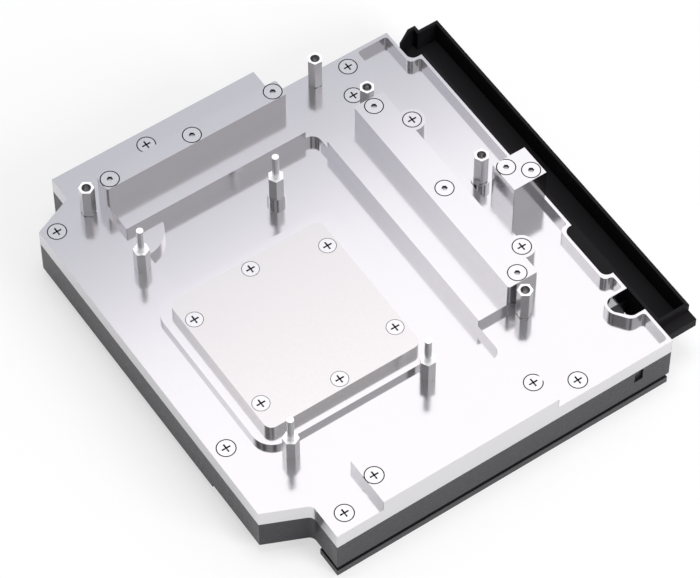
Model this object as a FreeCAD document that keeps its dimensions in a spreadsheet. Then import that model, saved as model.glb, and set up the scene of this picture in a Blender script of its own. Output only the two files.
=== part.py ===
import FreeCAD, Part
import math
import os
import Sketcher

# Liquid cooling cold plate for a processor and its voltage regulators, lying with the
# contact side up. Millimetres. The origin is the middle of the stud pattern in the
# plane of the processor contact face. +X runs along the short side of the stud
# pattern, +Y towards the long raised bar and +Z out of the contact face.

doc = FreeCAD.newDocument("cooling_plate")

# Driving dimensions: name and value.
SIZES = [
    # Heights above and below the open level of the base plate.
    ("plate_thickness", 6.8),
    ("pocket_depth", 3.65),
    ("shelf_rise", 3.5),
    ("pad_rise", 4.65),
    ("bar_rise", 13.0),
    ("platform_rise", 2.4),
    ("cold_plate_thickness", 4.0),
    ("flow_body_thickness", 12.65),
    ("panel_thickness", 1.55),
    ("spacer_thickness", 2.0),
    ("cover_thickness", 3.0),
    # Outline of the base plate, as reaches from the middle of the stud pattern.
    ("reach_left", 48.5),
    ("reach_right", 102.0),
    ("reach_front", 79.5),
    ("reach_back", 92.9),
    ("back_step_x", 49.2),
    ("back_step_depth", 11.85),
    ("back_left_reach", 33.3),
    ("back_left_y", 83.0),
    ("left_cut_back_y", 76.5),
    ("left_cut_front_reach", 58.1),
    ("front_left_reach", 32.3),
    ("front_left_depth", 14.1),
    ("front_left_radius", 2.8),
    # Notches in the right edge.
    ("corner_notch_depth", 4.6),
    ("corner_notch_y", 66.2),
    ("scallop_depth", 3.5),
    ("scallop_back_reach", 22.7),
    ("scallop_length", 23.6),
    ("bay_depth", 9.5),
    ("bay_back_reach", 54.0),
    ("bay_bend", 5.0),
    ("bay_front_depth", 5.0),
    ("bay_length", 10.2),
    ("notch_radius", 2.8),
    # Shelf and bar along the back.
    ("back_bar_left_reach", 24.55),
    ("back_bar_right_x", 48.15),
    ("back_bar_front_y", 69.95),
    ("bar_screw_inset", 3.5),
    ("back_bar_left_inset", 3.25),
    ("bar_radius", 0.8),
    ("back_shelf_depth", 11.3),
    # Shelf and bar along the side, and the two ears on that bar.
    ("side_shelf_width", 11.8),
    ("side_shelf_inset", 1.2),
    ("side_bar_x", 63.85),
    ("side_bar_width", 11.9),
    ("side_bar_front_reach", 38.8),
    ("side_bar_back_y", 52.2),
    ("ear_offset", 1.5),
    ("back_ear_y", 36.6),
    ("front_ear_reach", 27.5),
    ("ear_radius", 4.65),
    # Tower at the right edge.
    ("tower_width", 13.2),
    ("tower_front_reach", 7.3),
    ("tower_length", 12.7),
    ("tower_screw_back_inset", 3.25),
    ("tower_screw_front_inset", 3.7),
    # Raised pad at the front edge.
    ("pad_left_reach", 14.2),
    ("pad_right_x", 55.4),
    ("pad_depth", 18.95),
    # Pocket round the processor, with the round land beside the back bar.
    ("pocket_left_reach", 23.0),
    ("pocket_back_gap", 2.6),
    ("pocket_side_gap", 3.1),
    ("pocket_front_reach", 52.0),
    ("pocket_radius", 3.6),
    ("land_reach", 22.9),
    ("land_overlap", 0.85),
    ("land_radius", 11.8),
    # Pocket along the right edge.
    ("side_pocket_x", 84.0),
    ("rim_width", 1.4),
    ("side_rim_width", 1.05),
    ("rim_radius", 1.2),
    ("scallop_bend_radius", 2.2),
    # Processor cold plate, its platform, window, fins and seal.
    ("processor_offset", 6.8),
    ("cold_plate_side", 60.5),
    ("cold_plate_radius", 3.0),
    ("platform_margin", 4.2),
    ("platform_radius", 7.5),
    ("window_side", 36.0),
    ("window_radius", 2.0),
    ("fin_field", 30.0),
    ("fin_height", 3.0),
    ("fin_pitch", 1.2),
    ("fin_slit", 0.6),
    ("seal_side", 41.0),
    ("seal_width", 1.6),
    ("seal_height", 1.3),
    # Jet plate and the insert that carries it.
    ("insert_clearance", 0.2),
    ("jet_plate_thickness", 1.0),
    ("jet_length", 26.0),
    ("jet_width", 1.6),
    ("insert_slot_width", 6.0),
    ("feed_height", 4.0),
    # Stud pattern and its hex standoffs.
    ("stud_spacing_x", 54.0),
    ("stud_spacing_y", 90.0),
    ("stud_radius", 1.22),
    ("stud_length", 10.8),
    ("socket_hex", 5.0),
    ("socket_standoff_height", 9.7),
    ("shank_radius", 1.75),
    ("shank_length", 10.0),
    ("boss_radius", 3.3),
    # Board standoffs with female threads.
    ("board_hex", 4.8),
    ("board_standoff_height", 13.3),
    ("board_neck_height", 0.5),
    ("board_neck_radius", 2.3),
    ("board_thread_radius", 1.25),
    ("board_thread_depth", 9.0),
    ("thread_mouth", 0.4),
    ("vertex_turn", -4.0),
    ("flat_turn", 26.0),
    ("corner_standoff_x", 64.5),
    ("corner_standoff_inset", 4.05),
    ("bar_standoff_gap", 5.38),
    ("bar_standoff_inset", 4.65),
    ("shelf_standoff_offset", 8.45),
    ("shelf_standoff_gap", 4.4),
    ("side_standoff_x", 67.8),
    ("side_standoff_gap", 3.8),
    ("tower_standoff_x", 88.0),
    ("tower_standoff_gap", 5.4),
    # Countersunk screws.
    ("screw_head_radius", 3.05),
    ("cold_head_radius", 2.9),
    ("screw_radius", 1.5),
    ("head_land", 0.7),
    ("ring_gap", 0.38),
    ("cold_ring_gap", 0.2),
    ("thread_clearance", 0.05),
    ("thread_allowance", 0.5),
    ("screw_grip", 6.0),
    ("cold_screw_length", 8.0),
    ("cross_length", 3.3),
    ("cross_width", 0.6),
    ("cross_depth", 1.1),
    ("hex_socket_radius", 1.1),
    ("hex_socket_depth", 1.1),
    # Screws in the open level and on the front pad.
    ("back_screw_x", 1.35),
    ("back_screw_inset", 5.65),
    ("corner_screw_x", 77.7),
    ("corner_screw_inset", 4.85),
    ("inner_screw_offset", 8.35),
    ("inner_screw_inset", 16.3),
    ("left_screw_inset", 5.2),
    ("left_screw_back_y", 73.3),
    ("left_screw_front_reach", 31.3),
    ("front_left_screw_depth", 6.2),
    ("front_left_screw_inset", 6.95),
    ("front_right_screw_depth", 5.1),
    ("front_right_screw_inset", 35.2),
    ("pad_screw_inset", 3.2),
    ("pad_screw_depth", 10.2),
    # Screws of the processor cold plate.
    ("cold_screw_inset", 3.7),
    ("cold_screw_row", 19.95),
    # Coolant passages in the flow body.
    ("channel_depth", 5.0),
    ("chamber_side", 40.0),
    ("branch_reach", 37.5),
    ("branch_width", 10.0),
    ("run_width", 6.5),
    ("back_run_inset", 1.35),
    ("side_run_inset", 2.45),
    ("gasket_margin", 1.5),
    ("gasket_width", 1.6),
    ("gasket_depth", 1.3),
    ("gasket_radius", 3.0),
    ("port_reach", 31.0),
    ("port_radius", 5.75),
    # Raised panel round the ports.
    ("panel_right_reach", 18.0),
    ("panel_front_reach", 30.0),
    # Cable slot in the front face of the flow body.
    ("slot_x", 87.1),
    ("slot_width", 3.4),
    ("slot_height", 6.0),
    ("slot_depth", 1.0),
    # Cover plate on the cosmetic side and the spacer above it.
    ("cover_tongue_depth", 10.1),
    ("cover_left_reach", 12.0),
    ("cover_back_inset", 3.0),
    ("cover_right_inset", 0.5),
    ("spacer_inset", 1.6),
    ("spacer_right_inset", 0.4),
    ("cover_screw_inset", 6.0),
    ("cover_screw_length", 10.0),
    # Connector shroud along the right edge.
    ("shroud_width", 13.4),
    ("shroud_wall", 1.2),
    ("shroud_fit", 0.3),
    ("shroud_depth", 14.6),
    ("shroud_tray_depth", 9.2),
    ("lip_gap", 1.2),
    ("shroud_front_reach", 71.0),
    ("shroud_back_y", 75.9),
    ("tab_x", 107.5),
    ("tab_depth", 2.4),
    ("tab_length", 3.1),
    ("tab_slope", 3.5),
    ("lug_length", 4.3),
    ("lug_drop", 3.3),
    ("lug_thickness", 3.9),
    ("shroud_screw_radius", 1.0),
    ("shroud_head_radius", 1.9),
    ("shroud_head_height", 1.2),
    ("shroud_screw_length", 6.0),
    ("shroud_screw_drop", 5.2),
    ("shroud_screw_y", 48.0),
    ("shroud_screw_pitch", 32.0),
]

# Places that follow from the sizes.
PLACES = [
    # Levels.
    ("plate_top", "-(Sizes.platform_rise + Sizes.cold_plate_thickness)"),
    ("plate_bottom", "plate_top - Sizes.plate_thickness"),
    ("pocket_floor", "plate_top - Sizes.pocket_depth"),
    ("shelf_top", "plate_top + Sizes.shelf_rise"),
    ("pad_top", "plate_top + Sizes.pad_rise"),
    ("bar_top", "plate_top + Sizes.bar_rise"),
    ("platform_top", "plate_top + Sizes.platform_rise"),
    ("contact_top", "platform_top + Sizes.cold_plate_thickness"),
    ("channel_floor", "plate_bottom - Sizes.channel_depth"),
    ("gasket_bottom", "plate_bottom - Sizes.gasket_depth"),
    ("body_bottom", "plate_bottom - Sizes.flow_body_thickness"),
    ("panel_bottom", "body_bottom - Sizes.panel_thickness"),
    ("spacer_bottom", "body_bottom - Sizes.spacer_thickness"),
    ("cover_bottom", "spacer_bottom - Sizes.cover_thickness"),
    # Base plate outline.
    ("left", "-Sizes.reach_left"),
    ("right", "Sizes.reach_right"),
    ("front", "-Sizes.reach_front"),
    ("back", "Sizes.reach_back"),
    ("back_right", "back - Sizes.back_step_depth"),
    ("back_left", "-Sizes.back_left_reach"),
    ("left_cut_front", "-Sizes.left_cut_front_reach"),
    ("front_left", "-Sizes.front_left_reach"),
    ("front_left_y", "front + Sizes.front_left_depth"),
    ("corner_notch_x", "right - Sizes.corner_notch_depth"),
    ("scallop_x", "right - Sizes.scallop_depth"),
    ("scallop_back", "-Sizes.scallop_back_reach"),
    ("scallop_front", "scallop_back - Sizes.scallop_length"),
    ("bay_x", "right - Sizes.bay_depth"),
    ("bay_back", "-Sizes.bay_back_reach"),
    ("bay_bend_y", "bay_back - Sizes.bay_bend"),
    ("bay_front_x", "right - Sizes.bay_front_depth"),
    ("bay_front", "bay_back - Sizes.bay_length"),
    # Raised bars, shelves, tower and pad.
    ("back_bar_left", "-Sizes.back_bar_left_reach"),
    ("back_bar_axis", "Sizes.back_bar_front_y + Sizes.bar_screw_inset"),
    ("back_bar_back", "back_bar_axis + Sizes.bar_screw_inset"),
    ("back_bar_screw_left", "back_bar_left + Sizes.back_bar_left_inset"),
    ("back_bar_screw_right", "Sizes.back_bar_right_x - Sizes.bar_screw_inset"),
    ("back_bar_screw_mid", "(back_bar_screw_left + back_bar_screw_right) / 2"),
    ("back_shelf_front", "Sizes.back_bar_front_y - Sizes.back_shelf_depth"),
    ("side_shelf_x", "Sizes.side_bar_x - Sizes.side_shelf_width"),
    ("side_shelf_back", "Sizes.side_bar_back_y - Sizes.side_shelf_inset"),
    ("side_bar_right", "Sizes.side_bar_x + Sizes.side_bar_width"),
    ("side_bar_axis", "Sizes.side_bar_x + Sizes.side_bar_width / 2"),
    ("side_bar_front", "-Sizes.side_bar_front_reach"),
    ("side_bar_screw_back", "Sizes.side_bar_back_y - Sizes.bar_screw_inset"),
    ("side_bar_screw_front", "side_bar_front + Sizes.bar_screw_inset"),
    ("side_bar_screw_mid", "(side_bar_screw_back + side_bar_screw_front) / 2"),
    ("ear_x", "side_bar_right + Sizes.ear_offset"),
    ("front_ear_y", "-Sizes.front_ear_reach"),
    ("tower_left", "right - Sizes.tower_width"),
    ("tower_front", "-Sizes.tower_front_reach"),
    ("tower_back", "tower_front + Sizes.tower_length"),
    ("tower_screw_left", "tower_left + Sizes.tower_screw_back_inset"),
    ("tower_screw_right", "right - Sizes.tower_screw_front_inset"),
    ("tower_screw_back", "tower_back - Sizes.tower_screw_back_inset"),
    ("tower_screw_front", "tower_front + Sizes.tower_screw_front_inset"),
    ("pad_left", "-Sizes.pad_left_reach"),
    ("pad_back", "front + Sizes.pad_depth"),
    ("pad_screw_left", "pad_left + Sizes.pad_screw_inset"),
    ("pad_screw_right", "Sizes.pad_right_x - Sizes.pad_screw_inset"),
    ("pad_screw_y", "front + Sizes.pad_screw_depth"),
    # Processor cold plate and what lies under it.
    ("middle", "-Sizes.processor_offset"),
    ("cold_left", "-Sizes.cold_plate_side / 2"),
    ("cold_right", "Sizes.cold_plate_side / 2"),
    ("cold_front", "middle - Sizes.cold_plate_side / 2"),
    ("cold_back", "middle + Sizes.cold_plate_side / 2"),
    ("platform_left", "cold_left - Sizes.platform_margin"),
    ("platform_right", "cold_right + Sizes.platform_margin"),
    ("platform_front", "cold_front - Sizes.platform_margin"),
    ("platform_back", "cold_back + Sizes.platform_margin"),
    ("window_left", "-Sizes.window_side / 2"),
    ("window_right", "Sizes.window_side / 2"),
    ("window_front", "middle - Sizes.window_side / 2"),
    ("window_back", "middle + Sizes.window_side / 2"),
    ("fin_left", "-Sizes.fin_field / 2"),
    ("fin_right", "Sizes.fin_field / 2"),
    ("fin_front", "middle - Sizes.fin_field / 2"),
    ("fin_back", "middle + Sizes.fin_field / 2"),
    ("fin_bottom", "platform_top - Sizes.fin_height"),
    ("slit_right", "fin_left + Sizes.fin_pitch"),
    ("slit_left", "slit_right - Sizes.fin_slit"),
    ("seal_bottom", "platform_top - Sizes.seal_height"),
    ("seal_left", "-Sizes.seal_side / 2"),
    ("seal_right", "Sizes.seal_side / 2"),
    ("seal_front", "middle - Sizes.seal_side / 2"),
    ("seal_back", "middle + Sizes.seal_side / 2"),
    ("cold_screw_left", "cold_left + Sizes.cold_screw_inset"),
    ("cold_screw_right", "cold_right - Sizes.cold_screw_inset"),
    ("cold_screw_back", "cold_back - Sizes.cold_screw_inset"),
    ("cold_screw_front", "cold_front + Sizes.cold_screw_inset"),
    ("cold_row_back", "middle + Sizes.cold_screw_row"),
    ("cold_row_front", "middle - Sizes.cold_screw_row"),
    # Pockets.
    ("pocket_left", "-Sizes.pocket_left_reach"),
    ("pocket_front", "-Sizes.pocket_front_reach"),
    ("pocket_step_y", "platform_back + Sizes.pocket_back_gap"),
    ("pocket_step_x", "platform_right + Sizes.pocket_side_gap"),
    ("land_x", "-Sizes.land_reach"),
    ("land_y", "back_shelf_front + Sizes.land_overlap"),
    ("side_pocket_back", "back_right - Sizes.rim_width"),
    ("side_pocket_front", "front + Sizes.rim_width"),
    ("rim_right", "right - Sizes.side_rim_width"),
    ("rim_corner_x", "corner_notch_x - Sizes.side_rim_width"),
    ("rim_corner_y", "Sizes.corner_notch_y - Sizes.side_rim_width"),
    ("rim_scallop_x", "scallop_x - Sizes.side_rim_width"),
    ("rim_scallop_back", "scallop_back + Sizes.side_rim_width"),
    ("rim_scallop_front", "scallop_front - Sizes.side_rim_width"),
    ("rim_bay_x", "bay_x - Sizes.side_rim_width"),
    ("rim_bay_back", "bay_back + Sizes.side_rim_width"),
    ("rim_bay_front_x", "bay_front_x - Sizes.side_rim_width"),
    ("rim_bay_front", "bay_front - Sizes.side_rim_width"),
    # Jet plate and insert.
    ("insert_left", "window_left + Sizes.insert_clearance"),
    ("insert_right", "window_right - Sizes.insert_clearance"),
    ("insert_front", "window_front + Sizes.insert_clearance"),
    ("insert_back", "window_back - Sizes.insert_clearance"),
    ("jet_top", "fin_bottom - Sizes.insert_clearance"),
    ("jet_bottom", "jet_top - Sizes.jet_plate_thickness"),
    ("jet_left", "-Sizes.jet_length / 2"),
    ("jet_right", "Sizes.jet_length / 2"),
    ("jet_front", "middle - Sizes.jet_width / 2"),
    ("jet_back", "middle + Sizes.jet_width / 2"),
    ("insert_slot_front", "middle - Sizes.insert_slot_width / 2"),
    ("insert_slot_back", "middle + Sizes.insert_slot_width / 2"),
    ("feed_top", "channel_floor + Sizes.feed_height"),
    # Standoffs and the screws of the open level.
    ("stud_left", "-Sizes.stud_spacing_x / 2"),
    ("stud_right", "Sizes.stud_spacing_x / 2"),
    ("stud_front", "-Sizes.stud_spacing_y / 2"),
    ("stud_back", "Sizes.stud_spacing_y / 2"),
    ("shank_bottom", "plate_top - Sizes.shank_length"),
    ("corner_standoff_y", "back_right - Sizes.corner_standoff_inset"),
    ("bar_standoff_x", "back_bar_left - Sizes.bar_standoff_gap"),
    ("bar_standoff_y", "Sizes.back_bar_front_y + Sizes.bar_standoff_inset"),
    ("shelf_standoff_x", "Sizes.side_bar_x + Sizes.shelf_standoff_offset"),
    ("shelf_standoff_y", "Sizes.side_bar_back_y + Sizes.shelf_standoff_gap"),
    ("side_standoff_y", "side_bar_front - Sizes.side_standoff_gap"),
    ("tower_standoff_y", "tower_back + Sizes.tower_standoff_gap"),
    ("back_screw_y", "back - Sizes.back_screw_inset"),
    ("corner_screw_y", "back_right - Sizes.corner_screw_inset"),
    ("inner_screw_x", "Sizes.side_bar_x + Sizes.inner_screw_offset"),
    ("inner_screw_y", "back_right - Sizes.inner_screw_inset"),
    ("left_screw_x", "left + Sizes.left_screw_inset"),
    ("left_screw_front_y", "-Sizes.left_screw_front_reach"),
    ("front_left_screw_x", "front_left + Sizes.front_left_screw_inset"),
    ("front_left_screw_y", "front + Sizes.front_left_screw_depth"),
    ("front_right_screw_x", "right - Sizes.front_right_screw_inset"),
    ("front_right_screw_y", "front + Sizes.front_right_screw_depth"),
    ("screw_tip", "plate_bottom - Sizes.screw_grip"),
    # Coolant passages and the gasket loop round them.
    ("chamber_left", "-Sizes.chamber_side / 2"),
    ("chamber_right", "Sizes.chamber_side / 2"),
    ("chamber_front", "middle - Sizes.chamber_side / 2"),
    ("chamber_back", "middle + Sizes.chamber_side / 2"),
    ("branch_left", "-Sizes.branch_reach"),
    ("branch_front", "middle - Sizes.branch_width / 2"),
    ("branch_back", "middle + Sizes.branch_width / 2"),
    ("run_front", "back_shelf_front + Sizes.back_run_inset"),
    ("run_axis", "run_front + Sizes.run_width / 2"),
    ("run_back", "run_front + Sizes.run_width"),
    ("side_run_left", "side_shelf_x + Sizes.side_run_inset"),
    ("side_run_right", "side_run_left + Sizes.run_width"),
    ("side_run_front", "side_bar_front + Sizes.side_run_inset"),
    ("loop_left", "branch_left - Sizes.gasket_margin"),
    ("loop_right", "side_run_right + Sizes.gasket_margin"),
    ("loop_front", "side_run_front - Sizes.gasket_margin"),
    ("loop_back", "run_back + Sizes.gasket_margin"),
    ("port_x", "-Sizes.port_reach"),
    # Panel, slot, cover and spacer.
    ("panel_right", "-Sizes.panel_right_reach"),
    ("panel_front", "-Sizes.panel_front_reach"),
    ("slot_right", "Sizes.slot_x + Sizes.slot_width"),
    ("slot_back", "front + Sizes.slot_depth"),
    ("slot_bottom", "plate_bottom - Sizes.slot_height"),
    ("cover_right", "right - Sizes.cover_right_inset"),
    ("cover_left", "-Sizes.cover_left_reach"),
    ("cover_back", "back_right - Sizes.cover_back_inset"),
    ("cover_tongue", "front + Sizes.cover_tongue_depth"),
    ("spacer_right", "cover_right - Sizes.spacer_right_inset"),
    ("spacer_left", "cover_left + Sizes.spacer_inset"),
    ("spacer_back", "cover_back - Sizes.spacer_inset"),
    ("spacer_front", "front + Sizes.spacer_inset"),
    ("spacer_tongue", "cover_tongue - Sizes.spacer_inset"),
    ("spacer_front_left", "front_left + Sizes.spacer_inset"),
    ("cover_screw_left", "cover_left + Sizes.cover_screw_inset"),
    ("cover_screw_right", "cover_right - Sizes.cover_screw_inset"),
    ("cover_screw_back", "cover_back - Sizes.cover_screw_inset"),
    ("cover_screw_front", "front + Sizes.cover_screw_inset"),
    ("cover_screw_tip", "cover_bottom + Sizes.cover_screw_length"),
    # Connector shroud.
    ("shroud_left", "right + Sizes.shroud_fit"),
    ("shroud_right", "right + Sizes.shroud_width"),
    ("shroud_front", "-Sizes.shroud_front_reach"),
    ("shroud_top", "plate_top - Sizes.shroud_fit"),
    ("shroud_bottom", "shroud_top - Sizes.shroud_depth"),
    ("tray_floor", "shroud_top - Sizes.shroud_tray_depth"),
    ("tray_left", "shroud_left + Sizes.shroud_wall"),
    ("tray_right", "shroud_right - Sizes.shroud_wall"),
    ("tray_front", "shroud_front + Sizes.shroud_wall"),
    ("tray_back", "Sizes.shroud_back_y - Sizes.shroud_wall"),
    ("lip_corner_x", "corner_notch_x + Sizes.lip_gap"),
    ("lip_corner_y", "Sizes.corner_notch_y + Sizes.lip_gap"),
    ("tongue_x", "scallop_x + Sizes.shroud_fit"),
    ("tongue_back", "scallop_back - Sizes.shroud_fit"),
    ("tongue_front", "scallop_front + Sizes.shroud_fit"),
    ("tab_back", "Sizes.shroud_back_y + Sizes.tab_depth"),
    ("tab_left", "Sizes.tab_x - Sizes.tab_length"),
    ("tab_side_y", "tab_back - Sizes.tab_slope"),
    ("tab_inner_back", "tab_back - Sizes.shroud_wall"),
    ("tab_inner_right", "Sizes.tab_x - Sizes.shroud_wall"),
    ("tab_inner_side_y", "tab_side_y - Sizes.shroud_wall / 2"),
    ("lug_front", "shroud_front - Sizes.lug_length"),
    ("lug_top", "shroud_top - Sizes.lug_drop"),
    ("lug_bottom", "lug_top - Sizes.lug_thickness"),
    ("shroud_screw_z", "plate_top - Sizes.shroud_screw_drop"),
    ("shroud_screw_mid", "Sizes.shroud_screw_y - Sizes.shroud_screw_pitch"),
    ("shroud_screw_front", "shroud_screw_mid - Sizes.shroud_screw_pitch"),
    ("shroud_screw_tip", "tray_left - Sizes.shroud_screw_length"),
]

# Where the fasteners stand: each spot is its place along X and along Y.
PLATE_SCREWS = [
    ("back_screw_x", "back_screw_y"),
    ("corner_screw_x", "corner_screw_y"),
    ("inner_screw_x", "inner_screw_y"),
    ("left_screw_x", "left_screw_back_y"),
    ("left_screw_x", "left_screw_front_y"),
    ("front_left_screw_x", "front_left_screw_y"),
    ("front_right_screw_x", "front_right_screw_y"),
]
PAD_SCREWS = [("pad_screw_left", "pad_screw_y"), ("pad_screw_right", "pad_screw_y")]
EAR_SCREWS = [("ear_x", "back_ear_y"), ("ear_x", "front_ear_y")]
BACK_BAR_SCREWS = [
    ("back_bar_screw_left", "back_bar_axis"),
    ("back_bar_screw_mid", "back_bar_axis"),
    ("back_bar_screw_right", "back_bar_axis"),
]
SIDE_BAR_SCREWS = [
    ("side_bar_axis", "side_bar_screw_back"),
    ("side_bar_axis", "side_bar_screw_mid"),
    ("side_bar_axis", "side_bar_screw_front"),
]
TOWER_SCREWS = [
    ("tower_screw_left", "tower_screw_back"),
    ("tower_screw_right", "tower_screw_front"),
]
COLD_PLATE_SCREWS = [
    ("0", "cold_screw_back"),
    ("cold_screw_left", "cold_row_back"),
    ("cold_screw_right", "cold_row_back"),
    ("cold_screw_left", "cold_row_front"),
    ("cold_screw_right", "cold_row_front"),
    ("0", "cold_screw_front"),
]
COVER_SCREWS = [
    ("cover_screw_left", "cover_screw_back"),
    ("cover_screw_right", "cover_screw_back"),
    ("cover_screw_left", "cover_screw_front"),
    ("cover_screw_right", "cover_screw_front"),
]
SHROUD_SCREW_YS = ["shroud_screw_y", "shroud_screw_mid", "shroud_screw_front"]
# Standoffs also carry the turn of their hex.
SOCKET_STANDOFFS = [
    ("stud_left", "stud_back", "flat_turn"),
    ("stud_right", "stud_back", "0"),
    ("stud_left", "stud_front", "flat_turn"),
    ("stud_right", "stud_front", "0"),
]
BOARD_STANDOFFS = [
    ("corner_standoff_x", "corner_standoff_y", "vertex_turn"),
    ("bar_standoff_x", "bar_standoff_y", "flat_turn"),
    ("side_standoff_x", "side_standoff_y", "flat_turn"),
    ("tower_standoff_x", "tower_standoff_y", "vertex_turn"),
    ("shelf_standoff_x", "shelf_standoff_y", "vertex_turn"),
]
STANDOFF_SPOTS = [(x, y) for x, y, turn in SOCKET_STANDOFFS + BOARD_STANDOFFS]
BODY_SCREWS = PLATE_SCREWS + PAD_SCREWS + EAR_SCREWS + BACK_BAR_SCREWS + SIDE_BAR_SCREWS + TOWER_SCREWS

# Outlines that more than one piece follows.
PLATE_OUTLINE = [
    ("front_left", "front"),
    ("right", "front"),
    ("right", "bay_front"),
    ("bay_front_x", "bay_front"),
    ("bay_x", "bay_bend_y"),
    ("bay_x", "bay_back"),
    ("right", "bay_back"),
    ("right", "scallop_front"),
    ("scallop_x", "scallop_front"),
    ("scallop_x", "scallop_back"),
    ("right", "scallop_back"),
    ("right", "corner_notch_y"),
    ("corner_notch_x", "corner_notch_y"),
    ("corner_notch_x", "back_right"),
    ("back_step_x", "back_right"),
    ("back_step_x", "back"),
    ("back_left", "back"),
    ("back_left", "back_left_y"),
    ("left", "left_cut_back_y"),
    ("left", "left_cut_front"),
    ("front_left", "front_left_y"),
]
NOTCH_CORNERS = PLATE_OUTLINE[3:6] + PLATE_OUTLINE[8:10] + PLATE_OUTLINE[12:13]
SIDE_POCKET_OUTLINE = [
    ("side_pocket_x", "side_pocket_back"),
    ("rim_corner_x", "side_pocket_back"),
    ("rim_corner_x", "rim_corner_y"),
    ("rim_right", "rim_corner_y"),
    ("rim_right", "rim_scallop_back"),
    ("rim_scallop_x", "rim_scallop_back"),
    ("rim_scallop_x", "rim_scallop_front"),
    ("rim_right", "rim_scallop_front"),
    ("rim_right", "rim_bay_back"),
    ("rim_bay_x", "rim_bay_back"),
    ("rim_bay_x", "bay_bend_y"),
    ("rim_bay_front_x", "rim_bay_front"),
    ("rim_right", "rim_bay_front"),
    ("rim_right", "side_pocket_front"),
    ("side_pocket_x", "side_pocket_front"),
]
SCALLOP_BENDS = SIDE_POCKET_OUTLINE[2:3] + SIDE_POCKET_OUTLINE[5:7]
BAY_BENDS = SIDE_POCKET_OUTLINE[9:12]


def make_sheet(name, rows, prefix=""):
    """A sheet whose second column holds the rows' contents under their aliases."""
    sheet = doc.addObject("Spreadsheet::Sheet", name)
    for number, (alias, content) in enumerate(rows, start=1):
        sheet.set(f"A{number}", alias)
        sheet.set(f"B{number}", f"{prefix}{content}")
        sheet.setAlias(f"B{number}", alias)
    doc.recompute()
    return sheet


size_sheet = make_sheet("Sizes", SIZES)
place_sheet = make_sheet("Places", PLACES, "=")
SHEET_OF = {alias: "Sizes" for alias, content in SIZES}
SHEET_OF.update({alias: "Places" for alias, content in PLACES})


def path(text):
    """An alias with its sheet's name in front; any other expression as it is."""
    return f"{SHEET_OF[text]}.{text}" if text in SHEET_OF else text


def value(text):
    """What the alias or expression comes to now."""
    return float(place_sheet.evalExpression(path(text)))


def add_sketch(body, name, offset, role="XY_Plane"):
    """An empty sketch on one of the body's own origin planes, moved along its normal."""
    plane = next(item for item in body.Origin.OriginFeatures if item.Role == role)
    sketch = body.newObject("Sketcher::SketchObject", name)
    sketch.AttachmentSupport = (plane, "")
    sketch.MapMode = "FlatFace"
    sketch.setExpression("AttachmentOffset.Base.z", path(offset))
    return sketch


def hold(sketch, geometry, point, x=None, y=None):
    """Hold one point of the sketch at the given places."""
    for kind, text in (("DistanceX", x), ("DistanceY", y)):
        if text is not None:
            number = sketch.addConstraint(Sketcher.Constraint(kind, geometry, point, value(text)))
            sketch.setExpression(f"Constraints[{number}]", path(text))


def hold_radius(sketch, geometry, radius):
    number = sketch.addConstraint(Sketcher.Constraint("Radius", geometry, value(radius)))
    sketch.setExpression(f"Constraints[{number}]", path(radius))


def draw_polygon(sketch, corners):
    """Straight sides through the corners."""
    points = [FreeCAD.Vector(value(x), value(y), 0) for x, y in corners]
    first = sketch.GeometryCount
    for start, end in zip(points, points[1:] + points[:1]):
        sketch.addGeometry(Part.LineSegment(start, end), False)
    for number, (x, y) in enumerate(corners):
        before = first + (number - 1) % len(corners)
        sketch.addConstraint(Sketcher.Constraint("Coincident", before, 2, first + number, 1))
        hold(sketch, first + number, 1, x, y)


def draw_rounded_rectangle(sketch, left, right, front, back, radius):
    """Four arcs, each followed by a straight side, anticlockwise from the front left."""
    turn = value(radius)
    low = FreeCAD.Vector(value(left) + turn, value(front) + turn, 0)
    high = FreeCAD.Vector(value(right) - turn, value(back) - turn, 0)
    centres = [low, FreeCAD.Vector(high.x, low.y, 0), high, FreeCAD.Vector(low.x, high.y, 0)]
    first = sketch.GeometryCount
    arcs = []
    for number, centre in enumerate(centres):
        circle = Part.Circle(centre, FreeCAD.Vector(0, 0, 1), turn)
        start = math.pi * (1 + number / 2)
        arcs.append(Part.ArcOfCircle(circle, start, start + math.pi / 2))
    for number, arc in enumerate(arcs):
        sketch.addGeometry(arc, False)
        side = Part.LineSegment(arc.EndPoint, arcs[(number + 1) % 4].StartPoint)
        sketch.addGeometry(side, False)
    for number in range(4):
        arc = first + 2 * number
        after = first + 2 * ((number + 1) % 4)
        sketch.addConstraint(Sketcher.Constraint("Tangent", arc, 2, arc + 1, 1))
        sketch.addConstraint(Sketcher.Constraint("Tangent", arc + 1, 2, after, 1))
        direction = "Horizontal" if number % 2 == 0 else "Vertical"
        sketch.addConstraint(Sketcher.Constraint(direction, arc + 1))
        if number > 0:
            sketch.addConstraint(Sketcher.Constraint("Equal", first, arc))
    hold_radius(sketch, first, radius)
    hold(sketch, first + 1, 1, y=front)
    hold(sketch, first + 3, 1, x=right)
    hold(sketch, first + 5, 1, y=back)
    hold(sketch, first + 7, 1, x=left)


def draw_circles(sketch, spots, radius):
    """A circle of one radius at each spot."""
    for x, y in spots:
        centre = FreeCAD.Vector(value(x), value(y), 0)
        circle = Part.Circle(centre, FreeCAD.Vector(0, 0, 1), value(radius))
        number = sketch.addGeometry(circle, False)
        hold(sketch, number, 3, x, y)
        hold_radius(sketch, number, radius)


def rectangle(left, right, front, back):
    """The corners of a plain rectangle."""
    return [(left, front), (right, front), (right, back), (left, back)]


def pad(body, sketch, bottom, top):
    """Raise the sketch, which lies at the bottom, up to the top."""
    feature = body.newObject("PartDesign::Pad", f"{sketch.Name}_pad")
    feature.Profile = sketch
    feature.setExpression("Length", f"{path(top)} - ({path(bottom)})")
    sketch.Visibility = False
    return feature


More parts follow.
